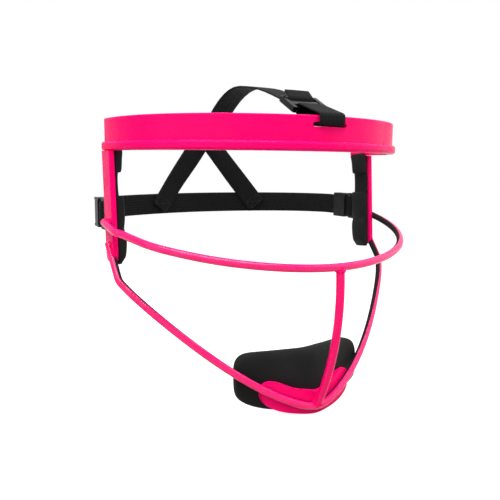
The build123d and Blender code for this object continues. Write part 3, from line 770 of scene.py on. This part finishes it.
class GUARD_OT_v_straps(bpy.types.Operator):
    """Make the two straps of the V that joins the crown strap to the rear strap"""

    bl_idname = "guard.v_straps"
    bl_label = "V straps"

    def execute(self, context):
        width = context.scene.guard_harness.rear_width
        runs = []
        for name, side, apex_side, share, depth in LEGS:
            frames = leg_frames(apex_side, share, depth)
            if side < 0:
                frames = [tuple(v * (-1, 1, 1) for v in f) for f in frames]
            (a, run_a, face_a), (b, _, _), (c, run_c, face_c), (d, _, _) = frames
            reach = np.linalg.norm(c - b) / 3
            middle = bezier(b, b + run_a * reach, c - run_c * reach, c, 41)
            line = np.concatenate([np.linspace(a, b, 12)[:-1], middle, np.linspace(c, d, 12)[1:]])
            turn = np.concatenate([np.zeros(11), np.linspace(0, 1, 41), np.ones(11)])
            turn = (turn * turn * (3 - 2 * turn))[:, None]
            across = np.cross(np.gradient(line, axis=0), face_a * (1 - turn) + face_c * turn)
            leg, length = webbing(f"{name}_web", line * MM, across, width, wave=0.00002)
            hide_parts(name)
            aside = unit(np.cross(run_c, face_c)) * BOX_HALF
            top = c + run_c * BOX_ABOVE + face_c * BOX_LIFT
            foot = c + run_c * BOX_BELOW + face_c * BOX_LIFT
            corners = [place * MM for place in (top - aside, top + aside, foot + aside, foot - aside)]
            for first, second in ((0, 1), (1, 2), (2, 3), (3, 0), (0, 2), (1, 3)):
                runs.append((corners[first], corners[second], face_c))
        sewing("v_strap_stitches", runs)
        return {"FINISHED"}


BUCKLE_AT = np.array((-58.67, 18.8))
BUCKLE_PITCH = radians(32.0)
BUCKLE_BACK = np.array((cos(BUCKLE_PITCH), sin(BUCKLE_PITCH)))
BUCKLE_RISE = np.array((-sin(BUCKLE_PITCH), cos(BUCKLE_PITCH)))
BAR_REACH = 5.9
WRAP_R = 2.15
CROWN_BACK = ((0.985, 0.33), (0.93, 0.45), (0.74, 0.585), (0.50, 0.785), (0.24, 0.955), (0.05, 1.0))
CROWN_FRONT = ((0.203, 0.945), (0.445, 0.846), (0.678, 0.706))
CROWN_PEAK, CROWN_END = 37.6, 8.0
WRAP_LEAD = 2.6
TAIL_TURN, TAIL_OUT = 8.0, 4.6


def buckle_point(back, rise):
    """A place in the buckle's tilted frame, in the middle plane."""
    return BUCKLE_AT + BUCKLE_BACK * back + BUCKLE_RISE * rise


def in_middle(points):
    """Metres in the shared frame from millimetres in the middle plane."""
    points = np.asarray(points, float)
    return np.stack([np.zeros(len(points)), points[:, 0], points[:, 1]], 1) * MM


class GUARD_OT_crown_strap(bpy.types.Operator):
    """Make the strap over the head, from the V straps to the buckle"""

    bl_idname = "guard.crown_strap"
    bl_label = "Crown strap"

    def execute(self, context):
        width = context.scene.guard_harness.crown_width
        points = [np.array((CROWN_REAR, CROWN_END))]
        points += [np.array((a * CROWN_REAR, b * CROWN_PEAK)) for a, b in CROWN_BACK]
        points += [np.array((a * BUCKLE_AT[0], b * CROWN_PEAK)) for a, b in CROWN_FRONT]
        points += [buckle_point(BAR_REACH + WRAP_LEAD, -WRAP_R), buckle_point(BAR_REACH, -WRAP_R)]
        over = smooth_line(points, 161)
        bar, start = buckle_point(BAR_REACH, 0), buckle_point(BAR_REACH, -WRAP_R)
        wrap = arc_points(bar, start, -180 + TAIL_TURN, 17)
        tail = wrap[-1] + unit(wrap[-1] - wrap[-2]) * np.linspace(0, TAIL_OUT, 9)[:, None]
        line = in_middle(even(np.concatenate([over[:-1], wrap[:-1], tail]), LINE_STEP))
        across = np.tile(HARNESS_X, (len(line), 1))
        strap, length = webbing("crown_strap_web", line, across, width, wave=0.00003)
        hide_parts("crown_strap")
        return {"FINISHED"}


SLOT_LEVEL = 6.36
RIM = np.array((-80.12, 10.49))
LOOP_FRONT = RIM[0] - 2.4 + WRAP_R / 2
LOOP_BEND, LOOP_STEP = 1.9, 0.35
LOOP_CORNERS = (
    (RIM[0] + 5.0, SLOT_LEVEL),
    (LOOP_FRONT, SLOT_LEVEL),
    (LOOP_FRONT, RIM[1] + 0.6),
    tuple(buckle_point(WRAP_R - BAR_REACH, WRAP_R)),
    tuple(buckle_point(WRAP_R - BAR_REACH, -WRAP_R - 0.9)),
    (RIM[0] + 6.3, SLOT_LEVEL + 3.8),
)


def rounded_loop(corners, radius, step):
    """A closed line through corners, each rounded."""
    corners = [np.asarray(c, float) for c in corners]
    points = []
    for i, corner in enumerate(corners):
        before = unit(corners[i - 1] - corner)
        after = unit(corners[(i + 1) % len(corners)] - corner)
        half = acos(max(-1, min(1, float(np.dot(before, after))))) / 2
        reach = radius / np.tan(half)
        centre = corner + unit(before + after) * radius / sin(half)
        start, end = corner + before * reach - centre, corner + after * reach - centre
        first = atan2(start[1], start[0])
        turn = (atan2(end[1], end[0]) - first + pi) % (2 * pi) - pi
        for share in np.linspace(0, 1, max(3, int(abs(turn) * radius / step))):
            angle = first + turn * share
            points.append(centre + radius * np.array((cos(angle), sin(angle))))
    return even(np.array(points + points[:1]), step)[:-1]


class GUARD_OT_front_loop(bpy.types.Operator):
    """Make the closed loop that ties the buckle to the brow band's slot"""

    bl_idname = "guard.front_loop"
    bl_label = "Front loop"

    def execute(self, context):
        width = context.scene.guard_harness.crown_width
        line = in_middle(rounded_loop(LOOP_CORNERS, LOOP_BEND, LOOP_STEP))
        across = np.tile(HARNESS_X, (len(line), 1))
        loop, length = webbing("front_loop_web", line, across, width, closed=True)
        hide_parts("front_loop")
        return {"FINISHED"}


# Foam pads


def foam_piece(name, vertices, rings, node, mirrored=False):
    """A closed pad lofted through rings of vertices, in metres."""
    faces = grid_faces(rings, len(vertices) // rings)
    if mirrored:
        faces = [tuple(reversed(face)) for face in faces]
    pad = new_piece(name, vertices, faces, bpy.data.materials["Foam skin"])
    smoothing = pad.modifiers.new("smooth", "SUBSURF")
    smoothing.levels = smoothing.render_levels = 1
    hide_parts(node)


def ring_turns(count):
    """Angles round a section, none of them on its middle lines."""
    return [2 * pi * (k + 0.5) / count for k in range(count)]


def soft_corner(angle, power):
    """A point of a rounded square of half width 1, more square the smaller the power."""
    c, s = cos(angle), sin(angle)
    return (abs(c) ** power * (1 if c >= 0 else -1), abs(s) ** power * (1 if s >= 0 else -1))


# Shares of the chin pad's half width, wing, height and thickness, from its middle to its end
CHIN_X = (0.0, 0.22, 0.45, 0.66, 0.83, 0.94, 1.0)
CHIN_BACK = (0.0, 0.133, 0.345, 0.62, 0.805, 0.885, 1.0)
CHIN_TOP = (0.0, 0.0, 0.0, 0.0, 0.01, 0.07, 0.25)
CHIN_FOOT = (1.0, 0.99, 0.96, 0.91, 0.83, 0.73, 0.56)
CHIN_THICK = (1.0, 1.0, 0.97, 0.88, 0.76, 0.58, 0.28)
CHIN_HALF, CHIN_FACE, CHIN_WING = 38.4, -59.85, 11.3
CHIN_HIGH, CHIN_LOW, CHIN_DEEP = -106.0, -138.0, 11.5
CHIN_RINGS, CHIN_AROUND, CHIN_CORNER = 57, 36, 0.52


class GUARD_OT_chin_pad(bpy.types.Operator):
    """Make the foam pad of the chin cup"""

    bl_idname = "guard.chin_pad"
    bl_label = "Chin pad"

    def execute(self, context):
        rows = np.array([CHIN_X, CHIN_BACK, CHIN_TOP, CHIN_FOOT, CHIN_THICK]).T
        both = np.concatenate([rows[:0:-1] * (-1, 1, 1, 1, 1), rows])
        vertices = []
        for side, back, top, foot, thick in smooth_line(both, CHIN_RINGS):
            depth = thick * CHIN_DEEP
            high = CHIN_HIGH + top * (CHIN_LOW - CHIN_HIGH)
            low = CHIN_HIGH + foot * (CHIN_LOW - CHIN_HIGH)
            front = CHIN_FACE + back * CHIN_WING
            for turn in ring_turns(CHIN_AROUND):
                a, b = soft_corner(turn, CHIN_CORNER)
                y = front + depth / 2 + a * depth / 2
                z = (high + low) / 2 + b * (high - low) / 2
                vertices.append(np.array((side * CHIN_HALF, y, z)) * MM)
        foam_piece("chin_cushion", vertices, CHIN_RINGS, "chin_pad")
        return {"FINISHED"}


# The side pads, then shares of their drop, thickness and width, from top to foot
PAD_BACK, PAD_TOP, PAD_DROP, PAD_DEEP = 83.8, -1.2, 58.4, 6.2
PAD_MIDDLE, PAD_WIDE = -2.9, 11.8
PAD_RINGS, PAD_AROUND = 61, 30
PAD_SHELF, PAD_ROUND, PAD_SQUARE = 0.04, 0.8, 0.4
PAD_LEVEL = (-0.035, 0.0, 0.05, 0.13, 0.18, 0.23, 0.34, 0.40, 0.45, 0.60, 0.68, 0.77, 0.88, 0.95, 1.0)
PAD_THICK = (0.80, 0.84, 0.86, 0.82, 0.53, 0.36, 0.36, 0.64, 0.90, 0.90, 0.79, 1.0, 0.94, 0.74, 0.42)
PAD_WIDTH = (0.97, 1.0, 1.0, 1.0, 1.0, 1.0, 1.0, 1.0, 1.0, 1.0, 1.0, 1.0, 1.0, 0.95, 0.76)


class GUARD_OT_side_pads(bpy.types.Operator):
    """Make the lobed foam pads inside the arms"""

    bl_idname = "guard.side_pads"
    bl_label = "Side pads"

    def execute(self, context):
        stations = smooth_line(np.array([PAD_LEVEL, PAD_THICK, PAD_WIDTH]).T, PAD_RINGS)
        for side, name in ((1, "left"), (-1, "right")):
            vertices = []
            for level, thick, width in stations:
                for turn in ring_turns(PAD_AROUND):
                    crowned = turn < pi and level > PAD_SHELF
                    a, b = soft_corner(turn, PAD_ROUND if crowned else PAD_SQUARE)
                    y = PAD_MIDDLE + a * PAD_WIDE * width / 2
                    x = PAD_BACK - PAD_DEEP * thick * (0.5 + b / 2)
                    vertices.append(np.array((side * x, y, PAD_TOP - level * PAD_DROP)) * MM)
            node = f"{name}_side_pad"
            foam_piece(f"{name}_side_cushion", vertices, PAD_RINGS, node, mirrored=side > 0)
        return {"FINISHED"}


BROW_TILT = radians(4.3)
# Node, first and last angle from the front, and top
BROW_PADS = (
    ("brow_pad_left", 66, 32, 13.7),
    ("brow_pad_centre", 24, -24, 14.6),
    ("brow_pad_right", -32, -66, 13.7),
)
BROW_PAD_LOW, NOTCH_TOP = 1.5, 11.9
NOTCH_ANGLES = (5.3, 5.9)
BROW_HALF, BROW_DEPTH, BROW_DEEP = 82.1, 81.2, 5.5
BROW_CENTRE, BROW_CURVE = 4.4, 0.9
BROW_BACK = np.array((0, cos(BROW_TILT), sin(BROW_TILT)))
BROW_UP = np.array((0, -sin(BROW_TILT), cos(BROW_TILT)))
BROW_RINGS, BROW_AROUND, BROW_CORNER = 33, 28, 0.6
END_CURVE, END_THICK, END_TALL = 9, 0.45, 0.86


def brow_point(angle, inset, level):
    """A place by the shell's inner wall, level measured square to the band's plane."""
    t = radians(angle)
    x = (BROW_HALF - inset) * sin(t)
    y = -(BROW_DEPTH - inset) * max(cos(t), 0) ** BROW_CURVE
    return np.array((x, BROW_CENTRE, 0)) + BROW_BACK * y + BROW_UP * level


class GUARD_OT_brow_pads(bpy.types.Operator):
    """Make the three foam pads inside the brow band"""

    bl_idname = "guard.brow_pads"
    bl_label = "Brow pads"

    def execute(self, context):
        for node, first, last, top in BROW_PADS:
            vertices = []
            angles = np.linspace(first, last, BROW_RINGS)
            if first > 0 > last:
                notch = [side * angle for side in (1, -1) for angle in NOTCH_ANGLES]
                angles = np.union1d(angles, notch)[::-1]
            for angle in angles:
                place = (2 * angle - first - last) / (last - first)
                high = NOTCH_TOP if abs(angle) <= NOTCH_ANGLES[0] else top
                swell = (1 - abs(place) ** END_CURVE) ** 0.5 if abs(place) < 1 else 0.0
                depth = BROW_DEEP * (END_THICK + (1 - END_THICK) * swell)
                tall = (high - BROW_PAD_LOW) / 2 * (END_TALL + (1 - END_TALL) * swell)
                for turn in ring_turns(BROW_AROUND):
                    a, b = soft_corner(turn, BROW_CORNER)
                    level = (high + BROW_PAD_LOW) / 2 + b * tall
                    vertices.append(brow_point(angle, depth * (0.5 + a / 2), level) * MM)
            foam_piece(f"{node}_foam", vertices, len(angles), node)
        return {"FINISHED"}


# Hard pieces


INSIDE, LEVEL = (0.0, -0.004, -0.06), (1.0, 1.0, 0.0)
# Node, name, weight of the clear coat and the black inner side
CAGE_PAINT = (
    ("left_arm", "Arm paint", 0.02, None),
    ("cheek_wire", "Cheek wire paint", 0.6, (INSIDE, LEVEL, -0.12)),
    ("jaw_wire", "Jaw wire paint", 0.6, (INSIDE, LEVEL, 0.02)),
    ("centre_bar", "Centre bar paint", 0.2, (INSIDE, LEVEL, -0.60)),
)


class GUARD_OT_cage(bpy.types.Operator):
    """Paint the arms pink, and the wires pink outside and black inside"""

    bl_idname = "guard.cage"
    bl_label = "Cage"

    def execute(self, context):
        finishes = {node: pink_finish(name, gloss, coat) for node, name, gloss, coat in CAGE_PAINT}
        finishes["right_arm"] = finishes["left_arm"]
        finishes["arm_rivets"] = finishes["lug_rivets"] = steel_finish()
        for node, material in finishes.items():
            dress(node, material)
        return {"FINISHED"}


ARM_OUTER = 86.6
CHEEK_LEVEL, CHEEK_START, CHEEK_SLOPE, CHEEK_REACH = -38.8, -5.4, radians(15.6), 79.9
JAW_TOP = np.array((ARM_OUTER, -2.0, -48.5))
JAW_CORNER = np.array((86.1, -15.3, -67.3))
JAW_FRONT = np.array((0.0, -63.9, -134.4))
BAR_R, BAR_BOW, BAR_SHARE = 2.1, 5.9, 0.45
BEAD_R, BEAD_RIPPLES, BEAD_DEPTH = 0.62, 46, 0.12
COLLAR_R, COLLAR_RIPPLES, COLLAR_DEPTH, COLLAR_PROUD = 0.55, 9, 0.10, 0.15
# Each arm's beads: first and last place along the wire, off its middle and proud of the arm
CHEEK_BEAD = (-2.9, 4.0, 1.75, 0.25)
JAW_BEAD = (0.6, 9.6, 1.95, 0.2)


def weld_run(start, end, count=40):
    """A rippled bead of weld from one place to another."""
    shares = np.linspace(0, 1, count)
    points = start + shares[:, None] * (end - start)
    radii = BEAD_R * np.sqrt(np.clip(1 - (2 * shares - 1) ** 8, 0.05, 1))
    return points, radii * (1 + BEAD_DEPTH * np.sin(shares * BEAD_RIPPLES))


def weld_collar(centre, axis, radius, count=48):
    """A rippled bead round a wire's end."""
    axis = unit(axis)
    side = unit(np.cross(axis, HARNESS_X))
    up = np.cross(axis, side)
    turns = np.linspace(0, 2 * pi, count)
    points = [centre + radius * (side * cos(t) + up * sin(t)) for t in turns]
    return np.array(points), COLLAR_R * (1 + COLLAR_DEPTH * np.sin(turns * COLLAR_RIPPLES))


class GUARD_OT_welds(bpy.types.Operator):
    """Make the weld beads where the wires meet the arms and the centre bar meets the wires"""

    bl_idname = "guard.welds"
    bl_label = "Weld beads"

    def execute(self, context):
        runs = []
        along = np.array((0, cos(CHEEK_SLOPE), sin(CHEEK_SLOPE)))
        above = np.array((0, -sin(CHEEK_SLOPE), cos(CHEEK_SLOPE)))
        lean = unit(JAW_CORNER - JAW_TOP)
        aside = np.cross(HARNESS_X, lean)
        for side in (1, -1):
            flip = np.array((side, 1, 1))
            for edge in (1, -1):
                first, last, off, proud = CHEEK_BEAD
                seat = np.array((ARM_OUTER + proud, CHEEK_START, CHEEK_LEVEL)) + above * edge * off
                runs.append(weld_run((seat + along * first) * flip, (seat + along * last) * flip))
                first, last, off, proud = JAW_BEAD
                seat = JAW_TOP + HARNESS_X * proud + aside * edge * off
                runs.append(weld_run((seat + lean * first) * flip, (seat + lean * last) * flip))
        cheek_front = np.array((0, CHEEK_START, CHEEK_LEVEL)) - along * (CHEEK_REACH / cos(CHEEK_SLOPE))
        bow = cheek_front + (JAW_FRONT - cheek_front) * BAR_SHARE - (0, BAR_BOW, 0)
        bar = smooth_line([cheek_front, bow, JAW_FRONT], 41)
        runs.append(weld_collar(bar[1], bar[2] - bar[0], BAR_R + COLLAR_PROUD))
        runs.append(weld_collar(bar[-2], bar[-1] - bar[-3], BAR_R + COLLAR_PROUD))
        shape = gathered([tube(points * MM, radii * MM) for points, radii in runs])
        welds = new_piece("weld_beads", *shape, bpy.data.materials["Arm paint"])
        return {"FINISHED"}


class GUARD_OT_band(bpy.types.Operator):
    """Finish the moulded brow band and chin carrier"""

    bl_idname = "guard.band"
    bl_label = "Brow band and chin carrier"

    def execute(self, context):
        shell = pink_finish("Moulded pink", 0.04)
        dress("brow_shell", shell)
        dress("chin_carrier", shell)
        return {"FINISHED"}


class GUARD_OT_hardware(bpy.types.Operator):
    """Finish the lugs, slides, buckle and hidden studs"""

    bl_idname = "guard.hardware"
    bl_label = "Lugs, slides and buckle"

    def execute(self, context):
        look = context.scene.guard_finish
        nylon = moulded_finish("Nylon", tuple(look.nylon_black), (0.38, 0.5), 0.3, 0.15)
        gloss = moulded_finish("Buckle gloss", tuple(look.buckle_black), (0.10, 0.18), 0.1, 0.12)
        for node in ("left_lug", "right_lug", "left_slide", "right_slide", "chin_studs"):
            dress(node, nylon)
        dress("front_buckle", gloss)
        return {"FINISHED"}


# Stage

CAMERA_YAW, CAMERA_PITCH, CAMERA_ROLL = radians(29.693), radians(4.442), radians(-1.585)
CAMERA_TARGET = Vector((0, 0, -0.057714))
CAMERA_DISTANCE = 0.359647
CAMERA_LENS, CAMERA_SENSOR = 43.364, 36.0
CAMERA_SHIFT = (-0.00183, 0.00065)
CAMERA_CLIP = (0.01, 50)
FLOOR_REACH, FLOOR_GAP = 6.0, 0.0002
FLOOR_SHADES = ((0.38, 0.38, 0.38, 1), (0.40, 0.40, 0.40, 1))
WHITE = (1, 1, 1, 1)
LAMP_AIM = (0, -0.01, -0.05)
# Name, place and size
LAMPS = (
    ("key", (-1.2, -0.6, 0.8), 2.2),
    ("top", (-0.2, -0.25, 0.85), 0.8),
    ("fill", (1.1, -0.5, 0.7), 1.8),
    ("front", (0.1, -1.3, 1.0), 2.2),
)


def add_lamp(name, place, size, power):
    """A soft square lamp that looks at the guard."""
    data = bpy.data.lights.new(name, "AREA")
    data.shape, data.size, data.energy = "SQUARE", size, power
    light = bpy.data.objects.new(name, data)
    light.location = place
    light.rotation_euler = (Vector(LAMP_AIM) - Vector(place)).to_track_quat("-Z", "Y").to_euler()
    bpy.context.scene.collection.objects.link(light)


def seen_directly(graph):
    """1 for the camera's own rays and for those that gloss or glass sends on, which meet white."""
    path = graph.add("ShaderNodeLightPath")
    gloss = graph.math("MAXIMUM", path.outputs["Is Glossy Ray"], path.outputs["Is Transmission Ray"])
    return graph.math("MAXIMUM", path.outputs["Is Camera Ray"], gloss)


def add_floor(glow):
    """A pale floor just under the guard, which the camera sees nearly white."""
    mesh = bpy.data.meshes.new("floor")
    corners = [(x * FLOOR_REACH, y * FLOOR_REACH, 0) for x, y in ((-1, -1), (1, -1), (1, 1), (-1, 1))]
    mesh.from_pydata(corners, [], [(0, 1, 2, 3)])
    floor = bpy.data.objects.new("floor", mesh)
    floor.location = (0, 0, cad_box[0][2] - FLOOR_GAP)
    bpy.context.scene.collection.objects.link(floor)
    material, graph, shader = start_material(
        "Floor", Roughness=0.9, Specular_IOR_Level=0.1, Emission_Color=WHITE
    )
    grain = graph.noise(graph.add("ShaderNodeTexCoord").outputs["Object"], 3.0)
    glow = graph.math("MULTIPLY", seen_directly(graph), glow)
    join(graph, shader, Base_Color=graph.mix(grain, *FLOOR_SHADES), Emission_Strength=glow)
    mesh.materials.append(material)


def add_sky(level):
    """An even light all round, behind which the camera sees white."""
    world = bpy.data.worlds.new("Studio")
    bpy.context.scene.world = world
    world.use_nodes = True
    graph = Graph(world.node_tree)
    seen = seen_directly(graph)
    level = graph.math("MULTIPLY", graph.math("SUBTRACT", 1.0, seen), level)
    backdrop = world.node_tree.nodes["Background"]
    backdrop.inputs["Color"].default_value = WHITE
    world.node_tree.links.new(graph.math("ADD", level, seen), backdrop.inputs["Strength"])


def add_camera():
    """The camera at the photograph's angle."""
    c, s = cos(CAMERA_YAW), sin(CAMERA_YAW)
    right = Vector((c, -s, 0))
    back = Vector((-s * cos(CAMERA_PITCH), -c * cos(CAMERA_PITCH), sin(CAMERA_PITCH)))
    up = back.cross(right)
    c, s = cos(CAMERA_ROLL), sin(CAMERA_ROLL)
    right, up = right * c + up * s, up * c - right * s
    data = bpy.data.cameras.new("camera")
    data.lens, data.sensor_width = CAMERA_LENS, CAMERA_SENSOR
    data.shift_x, data.shift_y = CAMERA_SHIFT
    data.clip_start, data.clip_end = CAMERA_CLIP
    camera = bpy.data.objects.new("camera", data)
    turn = Matrix((right, up, back)).transposed().to_4x4()
    camera.matrix_world = Matrix.Translation(CAMERA_TARGET + back * CAMERA_DISTANCE) @ turn
    bpy.context.scene.collection.objects.link(camera)
    bpy.context.scene.camera = camera


class GUARD_OT_stage(bpy.types.Operator):
    """Set the floor, sky, lamps and camera"""

    bl_idname = "guard.stage"
    bl_label = "Stage"

    def execute(self, context):
        stage = context.scene.guard_stage
        add_floor(stage.floor_level)
        add_sky(stage.sky_level)
        for name, place, size in LAMPS:
            add_lamp(name, place, size, getattr(stage, f"{name}_power"))
        add_camera()
        context.scene.view_settings.view_transform = "Standard"
        return {"FINISHED"}


# Add-on


class GUARD_PT_panel(bpy.types.Panel):
    """Lists the guard's settings and pieces"""

    bl_label = "Face Guard"
    bl_idname = "GUARD_PT_panel"
    bl_space_type = "VIEW_3D"
    bl_region_type = "UI"
    bl_category = "Face Guard"

    def draw(self, context):
        for settings in (getattr(context.scene, name) for name, _ in SETTINGS):
            box = self.layout.box()
            for name in settings.__annotations__:
                box.prop(settings, name)
        for piece in PIECES:
            self.layout.operator(piece.bl_idname)


PIECES = (
    GUARD_OT_cage,
    GUARD_OT_welds,
    GUARD_OT_band,
    GUARD_OT_hardware,
    GUARD_OT_brow_pads,
    GUARD_OT_side_pads,
    GUARD_OT_chin_pad,
    GUARD_OT_rear_strap,
    GUARD_OT_v_straps,
    GUARD_OT_crown_strap,
    GUARD_OT_front_loop,
    GUARD_OT_stage,
)
SETTINGS = (
    ("guard_finish", FinishSettings),
    ("guard_harness", HarnessSettings),
    ("guard_stage", StageSettings),
)


def register():
    for name, group in SETTINGS:
        bpy.utils.register_class(group)
        setattr(bpy.types.Scene, name, PointerProperty(type=group))
    for item in (*PIECES, GUARD_PT_panel):
        bpy.utils.register_class(item)


def unregister():
    for item in (GUARD_PT_panel, *reversed(PIECES)):
        bpy.utils.unregister_class(item)
    for name, group in reversed(SETTINGS):
        delattr(bpy.types.Scene, name)
        bpy.utils.unregister_class(group)


def main():
    register()
    make_groups()
    foam_finish()
    webbing_finish()
    thread_finish()
    for piece in PIECES:
        group, name = piece.bl_idname.split(".")
        getattr(getattr(bpy.ops, group), name)()
    bpy.context.view_layer.update()


if __name__ == "__main__":
    main()
